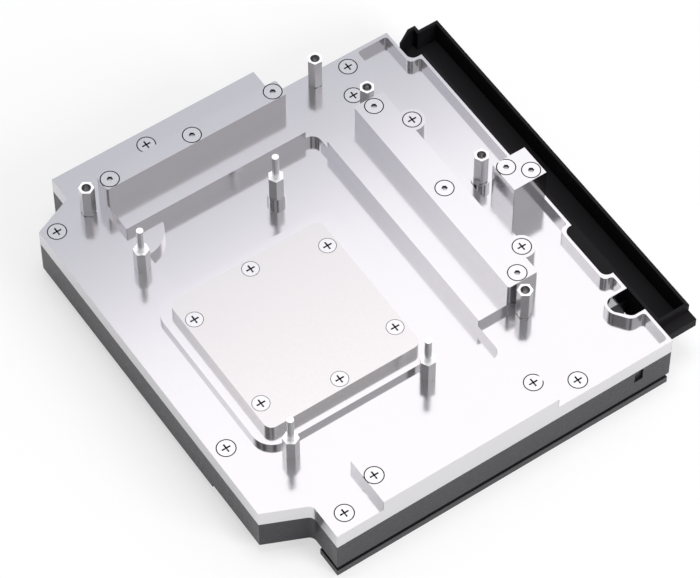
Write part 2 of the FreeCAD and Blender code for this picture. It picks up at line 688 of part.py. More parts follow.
def pocket(body, sketch, bottom, top):
    """Cut the sketch, which lies at the top, down to the bottom."""
    feature = body.newObject("PartDesign::Pocket", f"{sketch.Name}_cut")
    feature.Profile = sketch
    feature.setExpression("Length", f"{path(top)} - ({path(bottom)})")
    sketch.Visibility = False
    return feature


def pad_polygon(body, name, corners, bottom, top):
    sketch = add_sketch(body, name, bottom)
    draw_polygon(sketch, corners)
    return pad(body, sketch, bottom, top)


def cut_polygon(body, name, corners, bottom, top):
    sketch = add_sketch(body, name, top)
    draw_polygon(sketch, corners)
    return pocket(body, sketch, bottom, top)


def pad_rounded(body, name, sides, radius, bottom, top):
    sketch = add_sketch(body, name, bottom)
    draw_rounded_rectangle(sketch, *sides, radius)
    return pad(body, sketch, bottom, top)


def cut_rounded(body, name, sides, radius, bottom, top):
    sketch = add_sketch(body, name, top)
    draw_rounded_rectangle(sketch, *sides, radius)
    return pocket(body, sketch, bottom, top)


def pad_circles(body, name, spots, radius, bottom, top):
    sketch = add_sketch(body, name, bottom)
    draw_circles(sketch, spots, radius)
    return pad(body, sketch, bottom, top)


def cut_circles(body, name, spots, radius, bottom, top):
    sketch = add_sketch(body, name, top)
    draw_circles(sketch, spots, radius)
    return pocket(body, sketch, bottom, top)


def draw_ring(sketch, sides, radius, width):
    """Two rounded rectangles, the outer one wider all round."""
    left, right, front, back = (path(side) for side in sides)
    draw_rounded_rectangle(sketch, *sides, radius)
    draw_rounded_rectangle(
        sketch,
        f"{left} - {path(width)}",
        f"{right} + {path(width)}",
        f"{front} - {path(width)}",
        f"{back} + {path(width)}",
        f"{path(radius)} + {path(width)}",
    )


def drill_countersunk(body, name, spots, level, end, head="screw_head_radius", gap="ring_gap", upward=False):
    """Clearance holes with countersinks that leave a thin ring open round each head."""
    mouth = f"{path(head)} + {path(gap)}"
    depth = f"(Sizes.head_land + Sizes.thread_clearance - {path(gap)})"
    if upward:
        seat = f"{path(level)} + {depth}"
        cut_circles(body, f"{name}_mouth", spots, mouth, level, seat)
    else:
        seat = f"{path(level)} - {depth}"
        cut_circles(body, f"{name}_mouth", spots, mouth, seat, level)
    sketch = add_sketch(body, name, seat)
    draw_circles(sketch, spots, "screw_radius")
    sketch.Visibility = False
    doc.recompute()
    hole = body.newObject("PartDesign::Hole", f"{name}_holes")
    hole.Profile = sketch
    hole.Reversed = upward
    hole.ThreadType = "None"
    hole.DepthType = "Dimension"
    hole.DrillPoint = "Flat"
    hole.HoleCutType = "Countersink"
    hole.HoleCutCustomValues = True
    hole.HoleCutCountersinkAngle = 90
    hole.setExpression("Depth", f"abs({seat} - ({path(end)})) + Sizes.thread_allowance")
    hole.setExpression("Diameter", "2 * (Sizes.screw_radius + Sizes.thread_clearance)")
    hole.setExpression("HoleCutDiameter", f"2 * ({mouth})")
    return hole


def round_uprights(body, name, spots, radius, bottom, top):
    """Round the upright edges that stand on the spots between two levels."""
    doc.recompute()
    places = [(value(x), value(y)) for x, y in spots]
    low = value(bottom) - 0.01
    high = value(top) + 0.01
    names = []
    for number, edge in enumerate(body.Tip.Shape.Edges, start=1):
        start = edge.Vertexes[0].Point
        end = edge.Vertexes[-1].Point
        upright = abs(start.z - end.z) > 0.1 and math.hypot(start.x - end.x, start.y - end.y) < 0.001
        inside = low < min(start.z, end.z) and max(start.z, end.z) < high
        if upright and inside and any(math.hypot(start.x - x, start.y - y) < 0.01 for x, y in places):
            names.append(f"Edge{number}")
    base = body.Tip
    fillet = body.newObject("PartDesign::Fillet", name)
    fillet.Base = (base, names)
    fillet.setExpression("Radius", path(radius))
    return fillet


def drill_shroud_holes(body, name, level, end):
    """Sideways holes for the shroud screws, from one place along X to another."""
    sketch = add_sketch(body, name, level, "YZ_Plane")
    spots = [(y, "shroud_screw_z") for y in SHROUD_SCREW_YS]
    draw_circles(sketch, spots, "Sizes.shroud_screw_radius + Sizes.thread_clearance")
    return pocket(body, sketch, end, level)


def make_base_plate():
    body = doc.addObject("PartDesign::Body", "base_plate")
    pad_polygon(body, "plate", PLATE_OUTLINE, "plate_bottom", "plate_top")
    round_uprights(body, "notch_rounds", NOTCH_CORNERS, "notch_radius", "plate_bottom", "plate_top")
    elbow = [("front_left", "front_left_y")]
    round_uprights(body, "elbow_round", elbow, "front_left_radius", "plate_bottom", "plate_top")
    processor_pocket = [
        ("pocket_left", "pocket_step_y"),
        ("pocket_step_x", "pocket_step_y"),
        ("pocket_step_x", "pocket_front"),
        ("side_shelf_x", "pocket_front"),
        ("side_shelf_x", "back_shelf_front"),
        ("pocket_left", "back_shelf_front"),
    ]
    cut_polygon(body, "processor_pocket", processor_pocket, "pocket_floor", "plate_top")
    corners = processor_pocket[:5]
    round_uprights(body, "pocket_rounds", corners, "pocket_radius", "pocket_floor", "plate_top")
    cut_polygon(body, "side_pocket", SIDE_POCKET_OUTLINE, "pocket_floor", "plate_top")
    corners = [corner for corner in SIDE_POCKET_OUTLINE if corner not in SCALLOP_BENDS + BAY_BENDS]
    round_uprights(body, "rim_rounds", corners, "rim_radius", "pocket_floor", "plate_top")
    bend = "scallop_bend_radius"
    round_uprights(body, "scallop_bends", SCALLOP_BENDS, bend, "pocket_floor", "plate_top")
    bend = "Sizes.notch_radius + Sizes.side_rim_width"
    round_uprights(body, "bay_bends", BAY_BENDS, bend, "pocket_floor", "plate_top")
    add_raised_parts(body)
    add_window(body)
    add_plate_holes(body)
    return body


def add_raised_parts(body):
    """Land, bosses, shelves, bars, ears, tower, pad and platform of the base plate."""
    pad_circles(body, "land", [("land_x", "land_y")], "land_radius", "pocket_floor", "plate_top")
    bosses = [("stud_right", "stud_back"), ("tower_standoff_x", "tower_standoff_y")]
    pad_circles(body, "boss", bosses, "boss_radius", "pocket_floor", "plate_top")
    shelf = rectangle("back_bar_left", "back_bar_right_x", "back_shelf_front", "back_bar_axis")
    pad_polygon(body, "back_shelf", shelf, "plate_top", "shelf_top")
    sides = ("back_bar_left", "back_bar_right_x", "back_bar_front_y", "back_bar_back")
    pad_rounded(body, "back_bar", sides, "bar_radius", "plate_top", "bar_top")
    shelf = rectangle("side_shelf_x", "side_bar_axis", "side_bar_front", "side_shelf_back")
    pad_polygon(body, "side_shelf", shelf, "plate_top", "shelf_top")
    sides = ("side_bar_x", "side_bar_right", "side_bar_front", "side_bar_back_y")
    pad_rounded(body, "side_bar", sides, "bar_radius", "plate_top", "bar_top")
    pad_circles(body, "ear", EAR_SCREWS, "ear_radius", "plate_top", "bar_top")
    tower = rectangle("tower_left", "right", "tower_front", "tower_back")
    pad_polygon(body, "tower", tower, "pocket_floor", "bar_top")
    front_pad = rectangle("pad_left", "pad_right_x", "front", "pad_back")
    pad_polygon(body, "front_pad", front_pad, "plate_top", "pad_top")
    sides = ("platform_left", "platform_right", "platform_front", "platform_back")
    pad_rounded(body, "platform", sides, "platform_radius", "plate_top", "platform_top")


def add_window(body):
    """Opening for the fins and the groove of the seal round it."""
    sides = ("window_left", "window_right", "window_front", "window_back")
    cut_rounded(body, "window", sides, "window_radius", "plate_bottom", "platform_top")
    sketch = add_sketch(body, "seal_groove", "platform_top")
    draw_ring(sketch, ("seal_left", "seal_right", "seal_front", "seal_back"), "window_radius", "seal_width")
    pocket(body, sketch, "seal_bottom", "platform_top")


def add_plate_holes(body):
    bar_spots = EAR_SCREWS + BACK_BAR_SCREWS + SIDE_BAR_SCREWS + TOWER_SCREWS
    drill_countersunk(body, "bar_screw_spots", bar_spots, "bar_top", "plate_bottom")
    drill_countersunk(body, "pad_screw_spots", PAD_SCREWS, "pad_top", "plate_bottom")
    drill_countersunk(body, "plate_screw_spots", PLATE_SCREWS, "plate_top", "plate_bottom")
    shank = "Sizes.shank_radius + Sizes.thread_clearance"
    cut_circles(body, "standoff_holes", STANDOFF_SPOTS, shank, "plate_bottom", "plate_top")
    thread = "Sizes.screw_radius + Sizes.thread_clearance"
    tip = "Places.contact_top - Sizes.cold_screw_length - Sizes.thread_allowance"
    cut_circles(body, "cold_screw_holes", COLD_PLATE_SCREWS, thread, tip, "platform_top")
    end = "Places.shroud_screw_tip - Sizes.thread_allowance"
    drill_shroud_holes(body, "shroud_screw_holes", "right", end)


def make_cold_plate():
    body = doc.addObject("PartDesign::Body", "cpu_cold_plate")
    sides = ("cold_left", "cold_right", "cold_front", "cold_back")
    pad_rounded(body, "contact_plate", sides, "cold_plate_radius", "platform_top", "contact_top")
    block = rectangle("fin_left", "fin_right", "fin_front", "fin_back")
    pad_polygon(body, "fin_block", block, "fin_bottom", "platform_top")
    slit = rectangle("slit_left", "slit_right", "fin_front", "fin_back")
    cut = cut_polygon(body, "fin_slit", slit, "fin_bottom", "platform_top")
    pattern = body.newObject("PartDesign::LinearPattern", "fin_slits")
    pattern.Originals = [cut]
    pattern.Direction = (cut.Profile[0], ["H_Axis"])
    pattern.setExpression("Occurrences", "floor(Sizes.fin_field / Sizes.fin_pitch) - 1")
    count = "(floor(Sizes.fin_field / Sizes.fin_pitch) - 2)"
    pattern.setExpression("Length", f"{count} * Sizes.fin_pitch")
    body.Tip = pattern
    drill_countersunk(
        body, "contact_screw_spots", COLD_PLATE_SCREWS, "contact_top", "platform_top",
        "cold_head_radius", "cold_ring_gap",
    )
    return body


def make_ring(name, sides, radius, width, bottom, top):
    """A seal or gasket: a rounded frame of rectangular section."""
    body = doc.addObject("PartDesign::Body", name)
    sketch = add_sketch(body, f"{name}_frame", bottom)
    draw_ring(sketch, sides, radius, width)
    pad(body, sketch, bottom, top)
    return body


def make_jet_plate():
    body = doc.addObject("PartDesign::Body", "jet_plate")
    sheet = rectangle("insert_left", "insert_right", "insert_front", "insert_back")
    pad_polygon(body, "jet_sheet", sheet, "jet_bottom", "jet_top")
    slot = rectangle("jet_left", "jet_right", "jet_front", "jet_back")
    cut_polygon(body, "jet_slot", slot, "jet_bottom", "jet_top")
    round_uprights(body, "jet_sheet_rounds", sheet, "window_radius", "jet_bottom", "jet_top")
    return body


def make_jet_insert():
    """Block under the jet plate that leads the coolant up into its slot."""
    body = doc.addObject("PartDesign::Body", "jet_insert")
    block = rectangle("insert_left", "insert_right", "insert_front", "insert_back")
    pad_polygon(body, "insert_block", block, "channel_floor", "jet_bottom")
    round_uprights(body, "insert_rounds", block, "window_radius", "channel_floor", "jet_bottom")
    slot = rectangle("jet_left", "jet_right", "insert_slot_front", "insert_slot_back")
    cut_polygon(body, "insert_slot", slot, "channel_floor", "jet_bottom")
    feed = rectangle("jet_right", "insert_right", "insert_slot_front", "insert_slot_back")
    cut_polygon(body, "insert_feed", feed, "channel_floor", "feed_top")
    return body


def make_flow_body():
    """Block with the coolant passages, closed by the base plate on top."""
    body = doc.addObject("PartDesign::Body", "flow_body")
    pad_polygon(body, "block", PLATE_OUTLINE, "body_bottom", "plate_bottom")
    round_uprights(body, "block_rounds", NOTCH_CORNERS, "notch_radius", "body_bottom", "plate_bottom")
    elbow = [("front_left", "front_left_y")]
    round_uprights(body, "block_elbow", elbow, "front_left_radius", "body_bottom", "plate_bottom")
    panel = [
        ("left", "panel_front"),
        ("panel_right", "panel_front"),
        ("panel_right", "back_left_y"),
        ("back_left", "back_left_y"),
        ("left", "left_cut_back_y"),
    ]
    pad_polygon(body, "port_panel", panel, "panel_bottom", "body_bottom")
    passages = {
        "chamber": ("chamber_left", "chamber_right", "chamber_front", "chamber_back"),
        "outlet_branch": ("branch_left", "chamber_left", "branch_front", "branch_back"),
        "feed_branch": ("chamber_right", "side_run_left", "branch_front", "branch_back"),
        "side_run": ("side_run_left", "side_run_right", "side_run_front", "run_back"),
        "back_run": ("branch_left", "side_run_left", "run_front", "run_back"),
    }
    for name, sides in passages.items():
        cut_polygon(body, name, rectangle(*sides), "channel_floor", "plate_bottom")
    ports = [("port_x", "run_axis"), ("port_x", "middle")]
    cut_circles(body, "ports", ports, "port_radius", "panel_bottom", "channel_floor")
    sketch = add_sketch(body, "gasket_groove", "plate_bottom")
    draw_ring(sketch, ("loop_left", "loop_right", "loop_front", "loop_back"), "gasket_radius", "gasket_width")
    pocket(body, sketch, "gasket_bottom", "plate_bottom")
    slot = rectangle("slot_x", "slot_right", "front", "slot_back")
    cut_polygon(body, "cable_slot", slot, "slot_bottom", "plate_bottom")
    thread = "Sizes.screw_radius + Sizes.thread_clearance"
    tip = "Places.screw_tip - Sizes.thread_allowance"
    cut_circles(body, "body_threads", BODY_SCREWS, thread, tip, "plate_bottom")
    shank = "Sizes.shank_radius + Sizes.thread_clearance"
    tip = "Places.shank_bottom - Sizes.thread_allowance"
    cut_circles(body, "shank_threads", STANDOFF_SPOTS, shank, tip, "plate_bottom")
    tip = "Places.cover_screw_tip + Sizes.thread_allowance"
    cut_circles(body, "cover_threads", COVER_SCREWS, thread, "body_bottom", tip)
    return body


def make_cover_spacer():
    body = doc.addObject("PartDesign::Body", "cover_spacer")
    outline = [
        ("spacer_front_left", "spacer_front"),
        ("spacer_right", "spacer_front"),
        ("spacer_right", "spacer_back"),
        ("spacer_left", "spacer_back"),
        ("spacer_left", "spacer_tongue"),
        ("spacer_front_left", "spacer_tongue"),
    ]
    pad_polygon(body, "spacer", outline, "spacer_bottom", "body_bottom")
    clearance = "Sizes.screw_radius + Sizes.thread_clearance"
    cut_circles(body, "spacer_holes", COVER_SCREWS, clearance, "spacer_bottom", "body_bottom")
    return body


def make_cover_plate():
    body = doc.addObject("PartDesign::Body", "cover_plate")
    outline = [
        ("front_left", "front"),
        ("cover_right", "front"),
        ("cover_right", "cover_back"),
        ("cover_left", "cover_back"),
        ("cover_left", "cover_tongue"),
        ("front_left", "cover_tongue"),
    ]
    pad_polygon(body, "cover", outline, "cover_bottom", "spacer_bottom")
    drill_countersunk(body, "cover_screw_spots", COVER_SCREWS, "cover_bottom", "spacer_bottom", upward=True)
    return body


def make_shroud():
    """Tray along the right edge that covers the connectors beside the plate."""
    body = doc.addObject("PartDesign::Body", "io_shroud")
    outline = [
        ("shroud_left", "shroud_front"),
        ("shroud_right", "shroud_front"),
        ("shroud_right", "shroud_back_y"),
        ("tab_x", "shroud_back_y"),
        ("tab_x", "tab_back"),
        ("tab_left", "tab_back"),
        ("lip_corner_x", "tab_side_y"),
        ("lip_corner_x", "lip_corner_y"),
        ("shroud_left", "lip_corner_y"),
    ]
    pad_polygon(body, "shroud_shell", outline, "shroud_bottom", "shroud_top")
    tongue = rectangle("tongue_x", "shroud_left", "tongue_front", "tongue_back")
    pad_polygon(body, "tongue", tongue, "shroud_bottom", "shroud_top")
    corners = [("tongue_x", "tongue_front"), ("tongue_x", "tongue_back")]
    radius = "Sizes.notch_radius - Sizes.shroud_fit"
    round_uprights(body, "tongue_rounds", corners, radius, "shroud_bottom", "shroud_top")
    lug = rectangle("shroud_left", "shroud_right", "lug_front", "shroud_front")
    pad_polygon(body, "lug", lug, "lug_bottom", "lug_top")
    tray = rectangle("tray_left", "tray_right", "tray_front", "tray_back")
    cut_polygon(body, "tray", tray, "tray_floor", "shroud_top")
    tab_tray = [
        ("corner_notch_x", "corner_notch_y"),
        ("tray_left", "corner_notch_y"),
        ("tab_inner_right", "tray_back"),
        ("tab_inner_right", "tab_inner_back"),
        ("tab_left", "tab_inner_back"),
        ("lip_corner_x", "tab_inner_side_y"),
        ("corner_notch_x", "tab_inner_side_y"),
    ]
    cut_polygon(body, "tab_tray", tab_tray, "tray_floor", "shroud_top")
    drill_shroud_holes(body, "shroud_holes", "tray_left", "shroud_left")
    return body


def revolve_profile(body, name, profile):
    """Turn the profile, drawn in the XZ plane, about the Z axis."""
    sketch = add_sketch(body, name, "0", "XZ_Plane")
    draw_polygon(sketch, profile)
    turned = body.newObject("PartDesign::Revolution", f"{name}_turned")
    turned.Profile = sketch
    turned.ReferenceAxis = (sketch, ["V_Axis"])
    turned.Angle = 360
    sketch.Visibility = False
    return turned


def cut_cross(body, name):
    """Cross recess in the top of a screw head."""
    half = "Sizes.cross_length / 2"
    slim = "Sizes.cross_width / 2"
    for part, long, short in ((f"{name}_cross", half, slim), (f"{name}_bar", slim, half)):
        corners = rectangle(f"-{long}", long, f"-{short}", short)
        cut_polygon(body, part, corners, "-Sizes.cross_depth", "0")


def cut_hex(body, name, top):
    """Hexagonal socket in the top of a screw head."""
    corners = []
    for number in range(6):
        angle = 60 * number + 30
        corners.append((
            f"Sizes.hex_socket_radius * cos({angle} deg)",
            f"Sizes.hex_socket_radius * sin({angle} deg)",
        ))
    cut_polygon(body, f"{name}_socket", corners, f"{path(top)} - Sizes.hex_socket_depth", top)


def put(piece, x, y, z):
    """Bind the piece's placement to its spot and level."""
    for axis, text in (("x", x), ("y", y), ("z", z)):
        piece.setExpression(f".Placement.Base.{axis}", path(text))


def make_screw(name, length, drive, head):
    """Countersunk screw with its head's top at the origin."""
    body = doc.addObject("PartDesign::Body", name)
    cone = f"{path(head)} - Sizes.screw_radius"
    profile = [
        ("0", f"-({length})"),
        ("screw_radius", f"-({length})"),
        ("screw_radius", f"-(Sizes.head_land + {cone})"),
        (head, "-Sizes.head_land"),
        (head, "0"),
        ("0", "0"),
    ]
    revolve_profile(body, f"{name}_profile", profile)
    if drive == "cross":
        cut_cross(body, name)
    else:
        cut_hex(body, name, "0")
    return body


def make_screw_set(name, spots, level, length, drive, head="screw_head_radius"):
    """Numbered screws of one kind, their heads' tops at the level."""
    screws = []
    for number, (x, y) in enumerate(spots, start=1):
        screw = make_screw(f"{name}_{number}", length, drive, head)
        put(screw, x, y, level)
        screws.append(screw)
    return screws


def make_cover_screws():
    """Screws that come up through the cover from the cosmetic side."""
    screws = make_screw_set("cover_screw", COVER_SCREWS, "cover_bottom", "Sizes.cover_screw_length", "cross")
    for screw in screws:
        screw.Placement.Rotation = FreeCAD.Rotation(FreeCAD.Vector(1, 0, 0), 180)
    return screws


def make_shroud_screws():
    """Small sideways screws whose heads sit in the tray."""
    screws = []
    for number, y in enumerate(SHROUD_SCREW_YS, start=1):
        name = f"shroud_screw_{number}"
        body = doc.addObject("PartDesign::Body", name)
        profile = [
            ("0", "-Sizes.shroud_screw_length"),
            ("shroud_screw_radius", "-Sizes.shroud_screw_length"),
            ("shroud_screw_radius", "0"),
            ("shroud_head_radius", "0"),
            ("shroud_head_radius", "shroud_head_height"),
            ("0", "shroud_head_height"),
        ]
        revolve_profile(body, f"{name}_profile", profile)
        cut_hex(body, name, "shroud_head_height")
        body.Placement.Rotation = FreeCAD.Rotation(FreeCAD.Vector(0, 1, 0), 90)
        put(body, "tray_left", y, "shroud_screw_z")
        screws.append(body)
    return screws


def add_cylinder(name, radius, bottom, top):
    cylinder = doc.addObject("Part::Cylinder", name)
    cylinder.setExpression("Radius", path(radius))
    cylinder.setExpression("Height", f"{path(top)} - ({path(bottom)})")
    cylinder.setExpression(".Placement.Base.z", path(bottom))
    return cylinder


def add_hexagon(name, across_flats, bottom, top):
    prism = doc.addObject("Part::Prism", name)
    prism.Polygon = 6
    prism.setExpression("Circumradius", f"{path(across_flats)} / sqrt(3)")
    prism.setExpression("Height", f"{path(top)} - ({path(bottom)})")
    prism.setExpression(".Placement.Base.z", path(bottom))
    return prism


def join(name, pieces):
    joined = doc.addObject("Part::MultiFuse", name)
    joined.Shapes = pieces
    return joined


def make_socket_standoff(name, x, y, turn):
    """Hex post with a threaded stud on top and a shank below the plate's level."""
    height = "socket_standoff_height"
    tip = "Sizes.socket_standoff_height + Sizes.stud_length"
    pieces = [
        add_hexagon(f"{name}_hex", "socket_hex", "0", height),
        add_cylinder(f"{name}_stud", "stud_radius", height, tip),
        add_cylinder(f"{name}_shank", "shank_radius", "-Sizes.shank_length", "0"),
    ]
    standoff = join(name, pieces)
    standoff.Placement.Rotation = FreeCAD.Rotation(FreeCAD.Vector(0, 0, 1), value(turn))
    put(standoff, x, y, "plate_top")
    return standoff


def make_board_standoff(name, x, y, turn):
    """Hex post on a round neck with a threaded hole in its top."""
    height = "board_standoff_height"
    pieces = [
        add_hexagon(f"{name}_hex", "board_hex", "board_neck_height", height),
        add_cylinder(f"{name}_neck", "board_neck_radius", "0", "board_neck_height"),
        add_cylinder(f"{name}_shank", "shank_radius", "-Sizes.shank_length", "0"),
    ]
    post = join(f"{name}_post", pieces)
    floor = "Sizes.board_standoff_height - Sizes.board_thread_depth"
    mouth = doc.addObject("Part::Cone", f"{name}_mouth")
    mouth.setExpression("Radius1", "Sizes.board_thread_radius")
    mouth.setExpression("Radius2", "Sizes.board_thread_radius + Sizes.thread_mouth")
    mouth.setExpression("Height", "Sizes.thread_mouth")
    mouth.setExpression(".Placement.Base.z", "Sizes.board_standoff_height - Sizes.thread_mouth")
    tools = [add_cylinder(f"{name}_thread", "board_thread_radius", floor, height), mouth]
    standoff = doc.addObject("Part::Cut", name)
    standoff.Base = post
    standoff.Tool = join(f"{name}_hole", tools)
    standoff.Placement.Rotation = FreeCAD.Rotation(FreeCAD.Vector(0, 0, 1), value(turn))
    put(standoff, x, y, "plate_top")
    return standoff


def make_standoffs():
    standoffs = []
    for number, (x, y, turn) in enumerate(SOCKET_STANDOFFS, start=1):
        standoffs.append(make_socket_standoff(f"socket_standoff_{number}", x, y, turn))
    for number, (x, y, turn) in enumerate(BOARD_STANDOFFS, start=1):
        standoffs.append(make_board_standoff(f"board_standoff_{number}", x, y, turn))
    return standoffs


def make_all_screws():
    plate_length = "Places.plate_top - Places.screw_tip"
    pad_length = "Places.pad_top - Places.screw_tip"
    bar_length = "Places.bar_top - Places.screw_tip"
    cold_length = "Sizes.cold_screw_length"
    screws = make_screw_set("plate_screw", PLATE_SCREWS, "plate_top", plate_length, "cross")
    screws += make_screw_set("pad_screw", PAD_SCREWS, "pad_top", pad_length, "cross")
    screws += make_screw_set("ear_screw", EAR_SCREWS, "bar_top", bar_length, "cross")
    screws += make_screw_set("back_bar_screw", BACK_BAR_SCREWS, "bar_top", bar_length, "hex")
    screws += make_screw_set("side_bar_screw", SIDE_BAR_SCREWS, "bar_top", bar_length, "hex")
    screws += make_screw_set("tower_screw", TOWER_SCREWS, "bar_top", bar_length, "hex")
    screws += make_screw_set(
        "cold_plate_screw", COLD_PLATE_SCREWS, "contact_top", cold_length, "cross", "cold_head_radius",
    )
    return screws + make_cover_screws() + make_shroud_screws()


def check(pieces):
    """Stop if a feature failed, a cut removed nothing or a piece has no valid shape."""
    doc.recompute()
    for item in doc.Objects:
        if "Invalid" in item.State or "Error" in item.State:
            raise RuntimeError(f"{item.Name} failed: {item.State}")
        if item.TypeId in ("PartDesign::Pocket", "PartDesign::Hole"):
            if item.Shape.Volume > item.BaseFeature.Shape.Volume - 0.01:
                raise RuntimeError(f"{item.Name} cuts nothing")
    for piece in pieces:
        if piece.Shape.isNull() or not piece.Shape.isValid():
            raise RuntimeError(f"{piece.Label} has no valid shape")
        if len(piece.Shape.Solids) != 1:
            raise RuntimeError(f"{piece.Label} has {len(piece.Shape.Solids)} solids")


pieces = [
    make_base_plate(),
    make_cold_plate(),
    make_ring(
        "cold_plate_seal",
        ("seal_left", "seal_right", "seal_front", "seal_back"),
        "window_radius", "seal_width", "seal_bottom", "platform_top",
    ),
    make_jet_plate(),
    make_jet_insert(),
    make_flow_body(),
    make_ring(
        "main_gasket",
        ("loop_left", "loop_right", "loop_front", "loop_back"),
        "gasket_radius", "gasket_width", "gasket_bottom", "plate_bottom",
    ),
    make_cover_spacer(),
    make_cover_plate(),
    make_shroud(),
]
pieces += make_standoffs()
pieces += make_all_screws()
check(pieces)
os.makedirs("parts", exist_ok=True)
for piece in pieces:
    piece.Label = piece.Name
    piece.Shape.exportStep(f"parts/{piece.Label}.step")
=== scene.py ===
import math
import bmesh
import bpy
from mathutils import Matrix, Vector


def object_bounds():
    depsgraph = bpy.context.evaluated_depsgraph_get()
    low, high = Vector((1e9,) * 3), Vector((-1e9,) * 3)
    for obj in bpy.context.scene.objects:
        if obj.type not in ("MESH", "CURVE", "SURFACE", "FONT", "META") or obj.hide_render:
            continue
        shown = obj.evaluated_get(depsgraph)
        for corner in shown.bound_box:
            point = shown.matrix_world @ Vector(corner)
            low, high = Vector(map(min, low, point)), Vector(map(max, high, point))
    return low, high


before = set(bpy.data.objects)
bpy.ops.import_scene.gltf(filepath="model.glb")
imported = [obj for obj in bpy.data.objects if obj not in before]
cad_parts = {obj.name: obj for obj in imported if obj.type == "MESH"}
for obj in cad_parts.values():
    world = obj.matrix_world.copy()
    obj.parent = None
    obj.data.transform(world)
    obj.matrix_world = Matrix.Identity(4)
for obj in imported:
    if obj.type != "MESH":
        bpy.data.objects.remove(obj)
for stray in ("Cube", "Light", "Camera"):
    if stray in bpy.data.objects:
        bpy.data.objects.remove(bpy.data.objects[stray], do_unlink=True)
CAD_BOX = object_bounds()


# Settings: lengths in metres, angles in degrees, colours linear

# Painted shade: the colour that grooves, recesses and screw ring gaps are darkened towards
GROOVE_PAINTED_SHADE = (0.02, 0.02, 0.022)
# Painted shade: the dark colour given to the upright faces of socket screws
SOCKET_WALL_PAINTED_SHADE = (0.06, 0.06, 0.065)
STANDOFF_SIDES = ((0.84, 0.835, 0.845), (0.79, 0.785, 0.795))
# Painted highlight: the brighter colour given to the level end faces of the standoffs
STANDOFF_END_PAINTED_HIGHLIGHT = (0.93, 0.93, 0.93)
SCREW_TONES = ((0.77, 0.765, 0.775), (0.74, 0.735, 0.75))
ACRYLIC_TONES = ((0.93, 0.95, 0.95), (0.88, 0.91, 0.92))

METAL_EDGE = 0.0006
STANDOFF_EDGE = 0.0001
SCREW_EDGE = 0.00005
PLASTIC_EDGE = 0.0002
EDGE_SAMPLES = 6
OPENNESS_SAMPLES = 16
NOISE_ROUGHNESS = 0.55
LEVEL_FACE = (0.85, 0.97)
MILLING_SCALE = (2600.0, 240.0, 900.0)
TURNING_SCALE = (900.0, 900.0, 5200.0)

FLOOR_LEVEL = CAD_BOX[0][2]
FLOOR_GAP = 0.00005
FLOOR_CORNERS = [(-4.0, -4.0), (4.0, -4.0), (4.0, 4.0), (-4.0, 4.0)]
FLOOR_WHITE = 0.97
FLOOR_SHARES = (("Is Camera Ray", 0.6), ("Is Transmission Ray", 0.6), ("Is Glossy Ray", 0.25))

CARD_LEVEL = 0.994
CARD_SLOPE = 0.055
CARD_SLOPE_START = 0.4
CARD_STRENGTH = 2.0
CARD_CORNERS = [
    (-0.25, 0.05), (1.15, 0.05), (1.15, 1.3), (-0.75, 1.3), (-0.75, 0.42), (-0.25, 0.42),
]
CARD_TONES = [
    (0.570, (1.395, 1.370, 1.400)), (0.600, (1.385, 1.360, 1.395)), (0.618, (1.290, 1.275, 1.320)),
    (0.634, (1.115, 1.105, 1.155)), (0.651, (0.960, 0.955, 1.010)), (0.668, (0.850, 0.850, 0.905)),
    (0.690, (0.755, 0.760, 0.815)), (0.730, (0.700, 0.710, 0.770)),
]

LAMP_AIM = (0.03, 0.0, 0.0)
TOP_LIGHT = {"location": (0.03, 0.0, 1.25), "size": 0.5, "energy": 5.5}
FRONT_LIGHT = {"location": (0.45, -1.25, 0.8), "size": 0.7, "energy": 12.0}

SKY_SIDE = (0.707, -0.707, 0.0)
SKY_SIDE_REACH = 0.56
SKY_RISE = (0.2, 0.6)
CEILING = ((0.5, 0.5, 0.515), (0.64, 0.635, 0.65))
HORIZON = (0.97, 0.97, 0.97)
SKY_DARK = (0.08, 0.08, 0.085)
STRIPES = [
    (0.010, 0.5), (0.020, 0.03), (0.060, 0.03), (0.074, 0.6), (0.160, 0.6), (0.172, 0.03),
    (0.208, 0.03), (0.230, 1.0), (0.896, 1.0), (0.912, 0.03), (0.970, 0.03), (0.980, 0.5),
]

CAMERA_LENS_MM = 192.88
CAMERA_SENSOR_MM = 36.0
CAMERA_PLACE = (-0.37308, -0.59182, 1.02757)
CAMERA_HEADING = -34.04
CAMERA_TILT = 34.54
CAMERA_ROLL = -0.22


# Node helpers. A Mix node takes its factor at socket 0, vectors at 4 and 5, and colours at 6 and 7

def new_material(name):
    """A material holding one principled shader: the material, its node tree and the shader."""
    material = bpy.data.materials.new(name)
    material.use_nodes = True
    tree = material.node_tree
    tree.nodes.clear()
    output = tree.nodes.new("ShaderNodeOutputMaterial")
    shader = tree.nodes.new("ShaderNodeBsdfPrincipled")
    tree.links.new(shader.outputs["BSDF"], output.inputs["Surface"])
    return material, tree, shader


def place(tree):
    """The point in the part's own frame, in metres."""
    return tree.nodes.new("ShaderNodeTexCoord").outputs["Object"]


def mapped(tree, vector, scale):
    """The point with each axis stretched by its own scale."""
    node = tree.nodes.new("ShaderNodeMapping")
    node.inputs["Scale"].default_value = scale
    tree.links.new(vector, node.inputs["Vector"])
    return node.outputs["Vector"]


def noise(tree, vector, scale, detail=3.0):
    """Soft noise, near 0.5 on average."""
    node = tree.nodes.new("ShaderNodeTexNoise")
    node.inputs["Scale"].default_value = scale
    node.inputs["Detail"].default_value = detail
    node.inputs["Roughness"].default_value = NOISE_ROUGHNESS
    tree.links.new(vector, node.inputs["Vector"])
    return node.outputs["Fac"]


def spread(tree, value, low, high, start=0.3, end=0.7):
    """The value taken from start..end to low..high, held at both ends."""
    node = tree.nodes.new("ShaderNodeMapRange")
    node.inputs["From Min"].default_value = start
    node.inputs["From Max"].default_value = end
    node.inputs["To Min"].default_value = low
    node.inputs["To Max"].default_value = high
    tree.links.new(value, node.inputs["Value"])
    return node.outputs["Result"]


